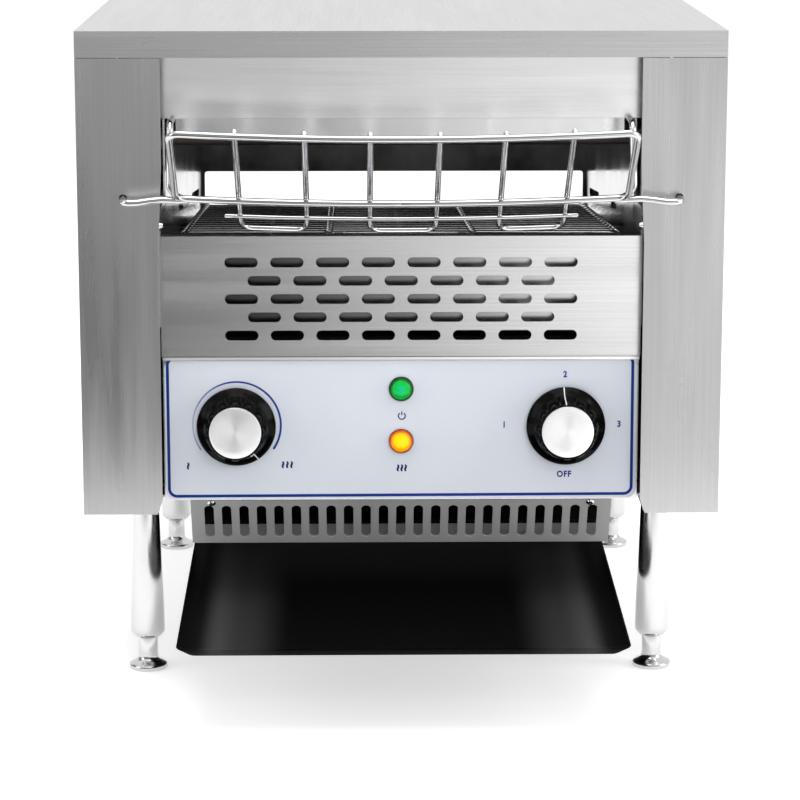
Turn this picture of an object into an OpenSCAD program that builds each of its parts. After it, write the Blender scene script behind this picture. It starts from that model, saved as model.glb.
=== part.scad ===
// Conveyor toaster: a wire belt carries bread from the front rack under and over
// heating tubes, drops it at the back, and a slide returns it to the front tray.
// +Z is up, the operator stands at -Y. The feet stand on Z = 0.

/* [Body] */

// overall width of the machine
body_w = 368; // [340:1:400]
// overall height from the floor to the hood
body_h = 387; // [370:1:410]
// height of the body's underside above the floor
floor_gap = 108; // [90:1:120]
// depth from the slotted panel's face to the rear panel's face
body_d = 345; // [330:1:360]
// sheet metal thickness
sheet_t = 1.2; // [0.8:0.1:2]
// gap between the two inner walls
throat_w = 281; // [270:1:290]

/* [Conveyor] */

// radius at which the belt strands run round the shafts
belt_r = 18.6; // [17:0.1:18.6]
// radius of one belt strand
strand_r = 1.1; // [0.8:0.1:1.4]
// half of the belt's width
belt_half = 129; // [120:1:130]
// strands on each straight run between the two shafts
run_steps = 14; // [12:1:14]
// fall of the belt from front to rear, in degrees
belt_fall = 4.43; // [2:0.01:6]
// radius of both belt shafts
shaft_r = 5; // [4:0.5:6]

/* [Front] */

// half distance between the two knobs
knob_x = 95.8; // [85:0.1:100]
// height of both knob centres
knob_z = 157; // [145:1:165]
// radius of a knob's skirt
knob_r = 23; // [18:0.5:25]
// half width of the control panel
panel_half = 138; // [130:0.1:139]
// length of a slot in the front vent panel
vent_slot_l = 19.2; // [15:0.1:22]
// width of a slot in the front vent panel
vent_slot_w = 5.8; // [4:0.1:7]

/* [Rack and tray] */

// angle of the loading rack above the horizontal
rack_tilt = 37; // [30:0.1:50]
// length of the loading rack along its slope
rack_len = 108; // [80:1:120]
// width of the collection tray
tray_w = 254; // [240:1:260]
// fall of the collection tray towards the front, in degrees
tray_fall = 2.3; // [1:0.1:4]
// how far the collection tray reaches out in front of the slotted panel
tray_front = 100; // [80:1:110]

/* [Hidden] */

$fn = 48;
face_y = (tray_front - body_d - 6) / 2;
half_w = body_w / 2;
wall_x = throat_w / 2;
front_y = -14;
cover_top = body_h - 15.3;
cut = 1;
gap = 0.3;

// shafts and belt path, as [distance behind the slotted panel, height]
front_axle = [34.6, 246.9];
// strands that one turn of a shaft takes along
pockets = 6;
chord = 2 * belt_r * sin(180 / pockets);
run_dir = [cos(belt_fall), -sin(belt_fall)];
run_up = [sin(belt_fall), cos(belt_fall)];
run_l = run_steps * chord;
rear_axle = front_axle + run_l * run_dir;
strands = 2 * run_steps + pockets;
columns = [-126, -42, 42, 126];
belt_sprocket_x = [-110, -36, 36, 110];

function turned(v, a) = [v[0] * cos(a) - v[1] * sin(a), v[0] * sin(a) + v[1] * cos(a)];
function on_run(y) = front_axle[1] - (y - front_axle[0]) * tan(belt_fall);
function strand_at(i) =
  let (half = pockets / 2, turn = 360 / pockets)
  i <= run_steps ? front_axle + belt_r * run_up + i * chord * run_dir :
  i <= run_steps + half ? rear_axle + belt_r * turned(run_up, -turn * (i - run_steps)) :
  i <= 2 * run_steps + half ?
    rear_axle - belt_r * run_up - (i - run_steps - half) * chord * run_dir :
  front_axle - belt_r * turned(run_up, -turn * (i - 2 * run_steps - half));

// chain drive in the right housing
chain_pitch = 6.35;
chain_teeth = 14;
chain_r = chain_pitch / (2 * sin(180 / chain_teeth));
chain_steps = 13;
chain_x = 150;
motor_axle = [rear_axle[0], rear_axle[1] - chain_steps * chain_pitch];

// heaters
heater_r = 4;
upper_heaters_y = [60, 125, 190, 255];
upper_heater_z = 318;
lower_heaters_y = [90, 165, 240];
support_rods_y = [66, 266];
support_rod_r = 3;
// the rails carry the strands from just below; the rods carry the rails
rail_top = belt_r - strand_r - gap;
rail_deep = 5.2;
rod_up = rail_top - rail_deep - support_rod_r + 0.1;

// controls
lamp_zs = [179, 148];
lamp_r = 7.25;
grip_hollows = 12;
grip_hollow_r = 6;

// a point of the rack: x, distance up its slope from the U loops, and height off its wires
rack_root = [2.9, 273.2];
function rack_point(x, t, off) =
  [x, rack_root[0] - t * cos(rack_tilt) - off * sin(rack_tilt),
    rack_root[1] + t * sin(rack_tilt) - off * cos(rack_tilt)];
rack_xs = [-92.9, -54.9, -19, 19, 54.9, 92.9];
rack_rail_up = 36.6;
rack_rail_off = 3.3;
rack_rail = rack_point(0, rack_rail_up, rack_rail_off);
rack_pin = [158, rack_rail[2]];

// inner edge of the side covers' front flanges, beside the panels and beside the mouth
flange_x = 138.4;
mouth_x = 136.2;

// the liners stand further apart at the front than at the rear
liner_front_x = 138.6;
liner_rear_x = 130.4;
liner_l = 307.7;
outlet_half = 128.3;
outlet_top = 265.6;

// screws that hold the rear panel to the flanges of the side covers, and one in each inner wall
wall_screw = [0, 275];
rear_screw_x = 178.5;
rear_screw_zs = [120, 240, 360];
screw_hole_r = 1.6;

// the tray is a shallow pan: tray_z is the height of its rim
function tray_z(y) = 56 + y * tan(tray_fall);
tray_back = 290;
tray_len = (tray_back + tray_front) / cos(tray_fall);
tray_deep = 5;
// the pan widens by this much per mm of height
tray_flare = 1.2;
slide_foot = [100, 62.5];
slide_head = [300, 166.5];

leg_x = 152;
legs_y = [40, 333];

// one drawing helper: the children stand where the slotted panel's face is y = 0
module placed() {
  translate([0, face_y, 0]) children();
}

// a drawing in (y, z) given a thickness along x
module along_x(x0, x1) {
  translate([x0, 0, 0]) rotate([90, 0, 90]) linear_extrude(x1 - x0) children();
}

// a drawing in (x, z) given a thickness along y
module along_y(y0, y1) {
  translate([0, y1, 0]) rotate([90, 0, 0]) linear_extrude(y1 - y0) children();
}

module block(x, y, z) {
  translate([x[0], y[0], z[0]]) cube([x[1] - x[0], y[1] - y[0], z[1] - z[0]]);
}

// a rod along x through a point (y, z)
module rod_x(p, r, x0, x1) {
  translate([x0, p[0], p[1]]) rotate([0, 90, 0]) cylinder(r = r, h = x1 - x0);
}

// a rod along y through a point (x, z)
module rod_y(p, r, y0, y1) {
  translate([p[0], y1, p[1]]) rotate([90, 0, 0]) cylinder(r = r, h = y1 - y0);
}

// a bent sheet seen edge on, from its list of points and its thickness
function side_of(a, b) = [a[1] - b[1], b[0] - a[0]] / norm(b - a);
function mitre(p, i) =
  let (n = len(p))
  let (s = i > 0 ? side_of(p[i - 1], p[i]) : side_of(p[0], p[1]))
  let (t = i < n - 1 ? side_of(p[i], p[i + 1]) : s)
  (s + t) / (1 + s * t);

module bent(p, t) {
  n = len(p);
  polygon(concat(
    [for (i = [0:n - 1]) p[i]],
    [for (i = [n - 1:-1:0]) p[i] + t * mitre(p, i)]));
}

// a slot with round ends, long along x
module stadium(l, w) {
  square([l - w, w], center = true);
  for (s = [-1, 1]) translate([s * (l - w) / 2, 0]) circle(d = w);
}

// a rounded rectangle
module rounded(w, h, r) {
  square([w - 2 * r, h], center = true);
  square([w, h - 2 * r], center = true);
  for (x = [-1, 1], z = [-1, 1]) translate([x * (w / 2 - r), z * (h / 2 - r)]) circle(r);
}

module both_sides() {
  children();
  mirror([1, 0, 0]) children();
}

// a straight wire between two points
module wire(a, b, r) {
  d = b - a;
  l = norm(d);
  translate(a) rotate([0, acos(d[2] / l), atan2(d[1], d[0])]) cylinder(r = r, h = l);
}

module bead(p, r) {
  translate(p) sphere(r * 1.03);
}

// ---------- frame and shells ----------

module base_frame() {
  color([0.62, 0.63, 0.64]) placed() {
    both_sides()
      block([wall_x + 1.5, half_w - 1.5], [front_y + 1.5, body_d - 1.7],
        [floor_gap, floor_gap + sheet_t]);
    block([-wall_x - 1.6, wall_x + 1.6], [30, 60], [floor_gap, floor_gap + sheet_t]);
    block([-wall_x - 1.6, wall_x + 1.6], [300, body_d - 1.7], [floor_gap, floor_gap + sheet_t]);
  }
}

module wall_holes() {
  for (p = [front_axle, rear_axle]) translate(p) circle(8.05);
  for (y = upper_heaters_y) translate([y, upper_heater_z]) circle(6.05);
  for (y = lower_heaters_y) translate([y, on_run(y)]) circle(6.05);
  for (y = support_rods_y) translate([y, on_run(y) + rod_up]) circle(support_rod_r + 0.05);
  translate(wall_screw) circle(screw_hole_r);
}

module inner_wall() {
  along_x(wall_x, wall_x + sheet_t) difference() {
    translate([front_y + 1.5, floor_gap + sheet_t + 0.1])
      square([body_d - front_y - 3.3, cover_top - floor_gap - sheet_t - 0.3]);
    wall_holes();
  }
}

module left_inner_wall() {
  color([0.78, 0.79, 0.8]) placed() mirror([1, 0, 0]) inner_wall();
}

module right_inner_wall() {
  color([0.78, 0.79, 0.8]) placed() inner_wall();
}

// polished liner between the belt's edge and the inner wall, with a lower cheek in front
module liner() {
  translate([liner_front_x, 9.3, 0])
    rotate(asin((liner_front_x - liner_rear_x) / liner_l))
      translate([0, -9.3, 0]) along_x(0, sheet_t) difference() {
        union() {
          translate([46, 214]) square([271, 130]);
          translate([9.3, 214]) square([36.7, 62]);
          translate([9.3, 214]) square([26.7, 70]);
          translate([36, 276]) circle(8);
        }
        translate(front_axle) circle(11.4);
        translate(rear_axle) circle(shaft_r + 1.5);
        for (y = upper_heaters_y) translate([y, upper_heater_z]) circle(heater_r + 1);
        for (y = lower_heaters_y) translate([y, on_run(y)]) circle(heater_r + 1);
        for (y = support_rods_y) translate([y, on_run(y) + rod_up]) circle(support_rod_r + 0.4);
        // slots through which the belt's edge can be reached for cleaning
        translate([264, 257]) rotate(-belt_fall) stadium(58, 5.4);
        translate([150, 266]) rotate(-belt_fall) stadium(30, 6);
      }
}

module left_chamber_liner() {
  color([0.85, 0.86, 0.87]) placed() mirror([1, 0, 0]) liner();
}

module right_chamber_liner() {
  color([0.85, 0.86, 0.87]) placed() liner();
}

module side_cover() {
  difference() {
    block([half_w - sheet_t, half_w], [front_y, body_d - 1.5], [floor_gap, cover_top]);
    // cooling slots in the side, low and high
    for (z = [140:12:212], y = [70:42:280])
      translate([half_w, y, z]) along_x(-3, 3) stadium(30, 4);
    for (z = [322:12:346], y = [70:42:280])
      translate([half_w, y, z]) along_x(-3, 3) stadium(30, 4);
  }
  along_y(front_y, front_y + sheet_t) difference() {
    polygon([[flange_x + 2.8, floor_gap], [half_w - 0.6, floor_gap], [half_w - 0.6, cover_top],
      [mouth_x, cover_top], [mouth_x, 312], [flange_x, 266], [flange_x, floor_gap + 8]]);
    translate(rack_pin) circle(2.3);
  }
  along_y(body_d - 2.7, body_d - 1.5) difference() {
    translate([rear_screw_x - 4.5, floor_gap + sheet_t + gap])
      square([half_w - 0.6 - rear_screw_x + 4.5, cover_top - floor_gap - 3]);
    for (z = rear_screw_zs) translate([rear_screw_x, z]) circle(screw_hole_r);
  }
}

module left_side_cover() {
  color([0.72, 0.73, 0.74]) placed() mirror([1, 0, 0]) side_cover();
}

module right_side_cover() {
  color([0.72, 0.73, 0.74]) placed() side_cover();
}

module hood() {
  color([0.72, 0.73, 0.74]) placed() difference() {
    block([-half_w, half_w], [front_y, body_d], [cover_top + 0.3, body_h]);
    block([-half_w + sheet_t, half_w - sheet_t], [front_y + sheet_t, body_d - sheet_t],
      [cover_top - cut, body_h - sheet_t]);
    // hot air leaves through two rows of slots near the back
    for (y = [285, 305], i = [-4:4])
      translate([i * 30, y, body_h]) linear_extrude(6, center = true) stadium(22, 5);
  }
}

module hood_front_panel() {
  color([0.74, 0.75, 0.76]) placed()
    along_x(-wall_x + 0.5, wall_x - 0.5)
      bent([[2, cover_top - 0.3], [2, 336], [26, 336]], sheet_t);
}

module rear_panel() {
  color([0.66, 0.67, 0.68]) placed() along_y(body_d - sheet_t, body_d) difference() {
    translate([-half_w, floor_gap]) square([body_w, cover_top - floor_gap]);
    translate([0, 252]) rounded(2 * outlet_half + 5.4, 48, 4);
    for (z = [130:12:202], s = [-1, 1]) translate([s * 162, z]) stadium(26, 4);
    for (z = [300:14:342], i = [-3:3]) translate([i * 32, z]) stadium(22, 5);
    translate([162, 236]) circle(8.05);
    for (z = rear_screw_zs, s = [-1, 1]) translate([s * rear_screw_x, z]) circle(screw_hole_r);
  }
}

module chamber_rear_wall() {
  color([0.45, 0.45, 0.46]) placed() along_y(318, 319.2) difference() {
    translate([-135, 214]) square([270, 128]);
    translate([0, 214]) rounded(2 * outlet_half, 2 * (outlet_top - 214), 2);
  }
}

// ---------- front panels ----------

module vent_rows() {
  for (row = [0:4])
    for (i = [0:(row % 2 == 0 ? 7 : 6)])
      translate([(i - (row % 2 == 0 ? 3.5 : 3)) * 26.3, 253.3 - row * 10.65])
        stadium(vent_slot_l, vent_slot_w);
}

module front_vent_panel() {
  color([0.75, 0.76, 0.77]) placed() {
    along_y(0, sheet_t) difference() {
      translate([-138.5, 198]) square([277, 70.5]);
      vent_rows();
    }
    block([-138.5, 138.5], [sheet_t / 2, 9], [268.5 - sheet_t, 268.5]);
    block([-138.5, 138.5], [sheet_t / 2, 12], [198, 198 + sheet_t]);
  }
}

module front_heat_shield() {
  color([0.6, 0.6, 0.61]) placed()
    along_x(-133, 133) bent([[9.5, 263], [9.5, 215.5], [12.5, 212]], 1);
}

module control_panel() {
  color([0.8, 0.81, 0.82]) placed() {
    along_y(2.4, 2.4 + sheet_t) difference() {
      translate([-panel_half, 112.7]) square([2 * panel_half, 84.6]);
      for (s = [-1, 1]) translate([s * knob_x, knob_z]) circle(5);
      for (z = lamp_zs) translate([0, z]) circle(6.05);
    }
    block([-panel_half, panel_half], [3, 15], [112.7, 112.7 + sheet_t]);
    both_sides() block([panel_half - sheet_t, panel_half], [3, 15], [112.7, 197.3]);
  }
}

module control_overlay() {
  color([0.82, 0.85, 0.88]) placed()
    along_y(2, 2.4) difference() {
      translate([0, 154.8]) rounded(2 * panel_half - 1.4, 83, 5.5);
      for (s = [-1, 1]) translate([s * knob_x, knob_z]) circle(5.4);
      for (z = lamp_zs) translate([0, z]) circle(6.2);
    }
}

vent_top = [4, 112];
vent_foot = [23.6, 81.4];
vent_len = norm(vent_foot - vent_top);
vent_screw_x = 111;
vent_screw_drop = 2;
vent_lean = atan2(vent_foot[0] - vent_top[0], vent_top[1] - vent_foot[1]);

module lower_vent_panel() {
  color([0.74, 0.75, 0.76]) placed() difference() {
    along_x(-123.4, 123.4) bent([vent_top, vent_foot, [38, 88.2]], sheet_t);
    translate([0, vent_top[0], vent_top[1]]) rotate([vent_lean, 0, 0]) along_y(-cut, sheet_t + cut) {
      for (i = [-11:11]) translate([i * 10.25, -vent_len / 2]) rotate(90) stadium(26.8, 5.6);
      for (s = [-1, 1]) translate([s * vent_screw_x, -vent_screw_drop]) circle(screw_hole_r);
    }
  }
}

module chute_ceiling() {
  color([0.7, 0.71, 0.72]) placed() {
    along_x(-121, 121) bent([[80.3, 101.1], [40, 90.8]], sheet_t);
    along_x(-wall_x + 0.5, wall_x - 0.5) bent([[280, 201.95], [80, 101]], sheet_t);
  }
}

// keeps the conveyor's heat away from the controls behind the front panels
module control_heat_shield() {
  color([0.7, 0.71, 0.72]) placed()
    along_x(-133, 133) bent([[14, 206], [88, 206], [88, 108]], sheet_t);
}

// ---------- toast return ----------

module return_slide() {
  color([0.76, 0.77, 0.78]) placed() {
    along_x(-124.5, 124.5)
      bent([[338, 232], [338, 200], [334, 188], [322, 178], slide_head, slide_foot], sheet_t);
    both_sides() along_x(123.3, 124.5)
      polygon([slide_foot, slide_head, [322, 178], [322, 192], [300, 187], [112, 91],
        slide_foot + [0, 8]]);
  }
}

// outline of the pan seen from the side or the front, cut off at two heights
module pan_outline(low, high, bottom, top) {
  polygon([[low - tray_flare * bottom, bottom], [high + tray_flare * bottom, bottom],
    [high + tray_flare * top, top], [low - tray_flare * top, top]]);
}

module pan(inset, bottom, top) {
  half = tray_w / 2 - inset;
  intersection() {
    along_x(-half, half) pan_outline(inset, tray_len - inset, bottom, top);
    along_y(-cut, tray_len + cut) pan_outline(-half, half, bottom, top);
  }
}

module collection_tray() {
  color([0.08, 0.08, 0.09]) placed()
    translate([0, -tray_front, tray_z(-tray_front)]) rotate([tray_fall, 0, 0]) difference() {
      pan(0, -tray_deep - sheet_t, 0);
      pan(sheet_t * norm([tray_flare, 1]), -tray_deep, 1);
    }
}

module tray_runners() {
  color([0.6, 0.61, 0.62]) placed() both_sides() {
    y0 = 152;
    y1 = 286;
    low = -tray_deep - sheet_t - gap;
    x = tray_w / 2 + 1.2;
    along_x(x, x + sheet_t)
      polygon([[y0, tray_z(y0) + low - 1], [y1, tray_z(y1) + low - 1], [y1, floor_gap - 0.2],
        [y0, floor_gap - 0.2]]);
    along_x(112, x + 0.6) bent([[y1, tray_z(y1) + low], [y0, tray_z(y0) + low]], sheet_t);
    along_x(123, x + 0.6) bent([[y1, tray_z(y1) + 2.2], [y0, tray_z(y0) + 2.2]], sheet_t);
    block([x + 0.6, 156], [y0, y1], [floor_gap - 1.4, floor_gap - 0.2]);
  }
}

// ---------- heating ----------

module upper_heating_tubes() {
  color([0.35, 0.33, 0.32]) placed()
    for (y = upper_heaters_y) rod_x([y, upper_heater_z], heater_r, -150, 150);
}

module lower_heating_tubes() {
  color([0.35, 0.33, 0.32]) placed()
    for (y = lower_heaters_y) rod_x([y, on_run(y)], heater_r, -144.6, 144.6);
}

module bushing(p, r, x1) {
  difference() {
    union() {
      rod_x(p, r, wall_x - 1.2, x1);
      rod_x(p, r + 1.8, wall_x + sheet_t + 0.1, wall_x + 3.2);
    }
    rod_x(p, heater_r + 0.05, wall_x - 5, x1 + cut);
  }
}

module heater_insulators() {
  color([0.93, 0.91, 0.86]) placed() both_sides() {
    for (y = upper_heaters_y) bushing([y, upper_heater_z], 6, 148);
    for (y = lower_heaters_y) bushing([y, on_run(y)], 6, 144.3);
  }
}

module upper_reflector() {
  color([0.85, 0.86, 0.87]) placed()
    along_x(-liner_rear_x, liner_rear_x) bent([[300, 322], [300, 333], [34, 333], [34, 322]], 1);
}

module lower_reflector() {
  color([0.85, 0.86, 0.87]) placed()
    along_x(-131, 131)
      bent([[272, on_run(272) - 9.5], [56, on_run(56) - 9.5]], 1);
}

// ---------- conveyor ----------

module conveyor_belt() {
  color([0.42, 0.42, 0.43]) placed()
    for (i = [0:strands - 1]) rod_x(strand_at(i), strand_r, -belt_half, belt_half);
}

// short wires that tie each strand to the next one, in four columns
module belt_links() {
  color([0.42, 0.42, 0.43]) placed()
    for (i = [0:strands - 1]) {
      here = strand_at(i);
      next = strand_at((i + 1) % strands);
      step = (strand_r + 0.05) * (next - here) / norm(next - here);
      for (x = columns) wire([x, each (here + step)], [x, each (next - step)], strand_r * 0.9);
    }
}

module belt_support_rails() {
  color([0.66, 0.67, 0.68]) placed() {
    for (x = [-78, 0, 78])
      along_x(x - 1, x + 1)
        bent([[60, on_run(60) + rail_top], [272, on_run(272) + rail_top]], -rail_deep);
    for (y = support_rods_y)
      rod_x([y, on_run(y) + rod_up], support_rod_r, -wall_x - 3, wall_x + 3);
  }
}

// a toothed wheel in (y, z): strands or rollers rest in the gaps between its teeth
module toothed(n, root, tip, at_root, at_tip, phase) {
  circle(root);
  for (k = [0:n - 1]) rotate(phase + (k + 0.5) * 360 / n)
    polygon([[root * 0.8, -root * 0.8 * tan(at_root)], [root, -root * tan(at_root)],
      [tip, -tip * tan(at_tip)], [tip, tip * tan(at_tip)], [root, root * tan(at_root)],
      [root * 0.8, root * 0.8 * tan(at_root)]]);
}

module belt_sprockets(axle) {
  for (x = belt_sprocket_x)
    translate([x - 2.5, axle[0], axle[1]]) along_x(0, 5) difference() {
      toothed(pockets, belt_r - strand_r - 0.25, belt_r + 1.6, 14, 9, 90 - belt_fall);
      circle(shaft_r + 0.05);
    }
}

module front_belt_sprockets() {
  color([0.5, 0.5, 0.52]) placed() belt_sprockets(front_axle);
}

module rear_belt_sprockets() {
  color([0.5, 0.5, 0.52]) placed() belt_sprockets(rear_axle);
}

module front_shaft() {
  color([0.6, 0.61, 0.63]) placed() rod_x(front_axle, shaft_r, -149, 149);
}

module rear_shaft() {
  color([0.6, 0.61, 0.63]) placed() rod_x(rear_axle, shaft_r, -149, 155);
}

module shaft_bearings() {
  color([0.7, 0.55, 0.3]) placed() both_sides()
    for (p = [front_axle, rear_axle]) difference() {
      union() {
        rod_x(p, 8, wall_x - 2.2, wall_x + 4);
        rod_x(p, 11, wall_x - 3, wall_x - 0.1);
      }
      rod_x(p, shaft_r + 0.06, wall_x - 5, wall_x + 6);
    }
}

// ---------- drive ----------

module chain_wheel() {
  toothed(chain_teeth, chain_r - 1.8, chain_r + 1.3, 5.4, 3, 0);
}

module rear_chain_sprocket() {
  color([0.45, 0.45, 0.47]) placed() translate([0, rear_axle[0], rear_axle[1]]) difference() {
    union() {
      along_x(chain_x - 1.4, chain_x + 1.4) chain_wheel();
      along_x(chain_x - 1.4, chain_x + 4.5) circle(8.5);
    }
    along_x(chain_x - 5, chain_x + 6) circle(shaft_r + 0.05);
  }
}

module motor_sprocket() {
  color([0.45, 0.45, 0.47]) placed() translate([0, motor_axle[0], motor_axle[1]]) {
    along_x(chain_x - 1.4, chain_x + 1.4) chain_wheel();
    along_x(chain_x - 1.4, chain_x + 4.2) circle(7);
    along_x(chain_x, 164) circle(4);
  }
}

chain_links = 2 * chain_steps + chain_teeth;
function roller_at(i) =
  i <= 7 ? rear_axle + chain_r * [cos(i * 180 / 7), sin(i * 180 / 7)] :
  i <= 7 + chain_steps ? rear_axle + [-chain_r, -(i - 7) * chain_pitch] :
  i <= 14 + chain_steps ?
    motor_axle - chain_r * [cos((i - 7 - chain_steps) * 180 / 7), sin((i - 7 - chain_steps) * 180 / 7)] :
  motor_axle + [chain_r, (i - 14 - chain_steps) * chain_pitch];

module link_plates(first) {
  for (i = [first:2:chain_links - 1]) {
    a = roller_at(i);
    b = roller_at((i + 1) % chain_links);
    d = b - a;
    translate(a) circle(2.5);
    translate(b) circle(2.5);
    translate((a + b) / 2) rotate(atan2(d[1], d[0])) square([norm(d), 4], center = true);
  }
}

module drive_chain() {
  color([0.35, 0.35, 0.37]) placed() {
    for (s = [-1, 1]) {
      x = chain_x + s * 2.05;
      along_x(x - 0.4, x + 0.4) link_plates(0);
      along_x(x + s * 0.8 - 0.4, x + s * 0.8 + 0.4) link_plates(1);
    }
    for (i = [0:chain_links - 1]) rod_x(roller_at(i), 1.6, chain_x - 3.4, chain_x + 3.4);
  }
}

module motor_bracket() {
  color([0.62, 0.63, 0.64]) placed() {
    along_x(154.6, 155.8) difference() {
      polygon([[214, floor_gap + sheet_t + 0.1], [336, floor_gap + sheet_t + 0.1], [336, 186],
        [262, 186], [214, 150]]);
      translate(motor_axle) circle(7.6);
    }
    block([155.2, 176], [214, 336], [floor_gap + sheet_t + 0.1, floor_gap + 2.4]);
  }
}

module drive_gearbox() {
  color([0.55, 0.56, 0.58]) placed() difference() {
    along_x(155.9, 166) union() {
      translate([282, 146]) rounded(100, 58, 8);
      translate([236, 146]) circle(28);
    }
    rod_x(motor_axle, 4.06, 150, 164.4);
  }
}

module drive_motor() {
  color([0.2, 0.2, 0.22]) placed() {
    rod_x([236, 146], 26, 166.2, 180);
    rod_x([236, 146], 6, 179.5, 181.6);
  }
}

// ---------- controls ----------

// a turned knob; shallow finger hollows run up its grip from the skirt
module knob_body(x) {
  translate([x, 0, knob_z]) rotate([90, 0, 0]) difference() {
    rotate_extrude()
      polygon([[2.95, 0.5], [3.5, -0.9], [knob_r - 0.6, -0.9], [knob_r, 0], [knob_r, 1.8],
        [knob_r - 1.6, 3.6], [18.6, 5.2], [17.4, 7], [16.9, 17.2], [16.2, 18.6], [15.5, 18.6],
        [15.5, 17.4], [2.95, 17.4]]);
    for (k = [0:grip_hollows - 1]) rotate((k + 0.5) * 360 / grip_hollows)
      translate([grip_hollow_r + 16.5, 0, 6.5]) cylinder(r = grip_hollow_r, h = 15);
  }
}

module knob_cap(x) {
  translate([x, -17.5, knob_z]) rotate([90, 0, 0]) rotate_extrude()
    polygon([[0, 0], [15.3, 0], [15.3, 1], [14.6, 1.7], [0, 1.7]]);
}

module spindle(x) {
  rod_y([x, knob_z], 2.9, -16, 18);
}

module speed_knob() {
  color([0.06, 0.06, 0.07]) placed() knob_body(-knob_x);
}

module speed_knob_cap() {
  color([0.75, 0.76, 0.77]) placed() knob_cap(-knob_x);
}

module speed_spindle() {
  color([0.7, 0.7, 0.71]) placed() spindle(-knob_x);
}

module selector_knob() {
  color([0.06, 0.06, 0.07]) placed() knob_body(knob_x);
}

module selector_knob_cap() {
  color([0.75, 0.76, 0.77]) placed() knob_cap(knob_x);
}

module selector_spindle() {
  color([0.7, 0.7, 0.71]) placed() spindle(knob_x);
}

module speed_control() {
  color([0.15, 0.3, 0.2]) placed() difference() {
    union() {
      rod_y([-knob_x, knob_z], 12, 4, 20);
      rod_y([-knob_x, knob_z], 4.6, 2.6, 5);
      block([-128, -62], [20, 21.6], [122, 190]);
      block([-118, -92], [21, 44], [126, 140]);
    }
    rod_y([-knob_x, knob_z], 2.96, 0, 18.5);
  }
}

module selector_switch() {
  color([0.12, 0.12, 0.13]) placed() difference() {
    union() {
      block([knob_x - 18, knob_x + 18], [4, 48], [knob_z - 18, knob_z + 18]);
      rod_y([knob_x, knob_z], 4.6, 2.6, 5);
      for (z = [-10, 10], y = [16, 30, 42])
        block([knob_x + 17, knob_x + 24], [y - 0.4, y + 0.4], [knob_z + z - 3, knob_z + z + 3]);
    }
    rod_y([knob_x, knob_z], 2.96, 0, 18.5);
  }
}

module lamp_holders() {
  color([0.1, 0.1, 0.11]) placed() for (z = lamp_zs) {
    difference() {
      union() {
        rod_y([0, z], 7.7, 0.2, 1.9);
        rod_y([0, z], 6, 1, 30);
        rod_y([0, z], 8, 4, 8);
      }
      rod_y([0, z], lamp_r + 0.05, -3, 1.2);
    }
    for (s = [-1, 1]) block([s * 3 - 0.4, s * 3 + 0.4], [29, 37], [z - 1.6, z + 1.6]);
  }
}

module lamp_lens(z) {
  translate([0, 1.1, z]) rotate([90, 0, 0]) rotate_extrude()
    polygon([[0, 0], [lamp_r, 0], [lamp_r, 1.6], [lamp_r - 0.9, 2.9], [lamp_r - 2.6, 3.8], [0, 4.3]]);
}

module power_lamp() {
  color([0.1, 0.6, 0.25]) placed() lamp_lens(lamp_zs[0]);
}

module heat_lamp() {
  color([0.95, 0.55, 0.1]) placed() lamp_lens(lamp_zs[1]);
}

module terminal_block() {
  color([0.9, 0.9, 0.86]) placed() difference() {
    block([148, 172], [110, 190], [floor_gap + sheet_t + 0.1, 126]);
    for (i = [0:5]) translate([154, 116 + i * 12.5, 118]) cube([20, 6, 10]);
  }
}

module cord_gland() {
  color([0.08, 0.08, 0.09]) placed() difference() {
    union() {
      rod_y([162, 236], 8, body_d - 8, body_d + 0.5);
      rod_y([162, 236], 11, body_d + 0.1, body_d + 6);
      rod_y([162, 236], 11, body_d - 5, body_d - sheet_t - 0.1);
    }
    rod_y([162, 236], 4, body_d - 10, body_d + 8);
  }
}

// ---------- legs, rack, screws ----------

module legs() {
  color([0.8, 0.81, 0.82]) placed() for (y = legs_y, s = [-1, 1])
    translate([s * leg_x, y, 0]) difference() {
      union() {
        translate([0, 0, 23]) cylinder(r1 = 10.25, r2 = 7.5, h = floor_gap - 23.1);
        translate([0, 0, 20]) cylinder(r1 = 8, r2 = 10.25, h = 3);
      }
      translate([0, 0, 19]) cylinder(r = 4.06, h = 45);
    }
}

module foot(x, y) {
  color([0.75, 0.76, 0.77]) placed() translate([x, y, 0]) {
    cylinder(r = 11.7, h = 3);
    translate([0, 0, 3]) cylinder(r1 = 11.7, r2 = 6, h = 4);
    translate([0, 0, 6]) cylinder(r = 5.85, h = 13.9);
    translate([0, 0, 19]) cylinder(r = 4, h = 40);
  }
}

module front_left_foot() {
  foot(-leg_x, legs_y[0]);
}

module front_right_foot() {
  foot(leg_x, legs_y[0]);
}

module rear_left_foot() {
  foot(-leg_x, legs_y[1]);
}

module rear_right_foot() {
  foot(leg_x, legs_y[1]);
}

// round wires through a list of points, their corners closed with beads
module wires(points, r) {
  for (i = [1:len(points) - 1]) wire(points[i - 1], points[i], r);
  for (i = [1:len(points) - 2]) bead(points[i], r);
}

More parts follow.
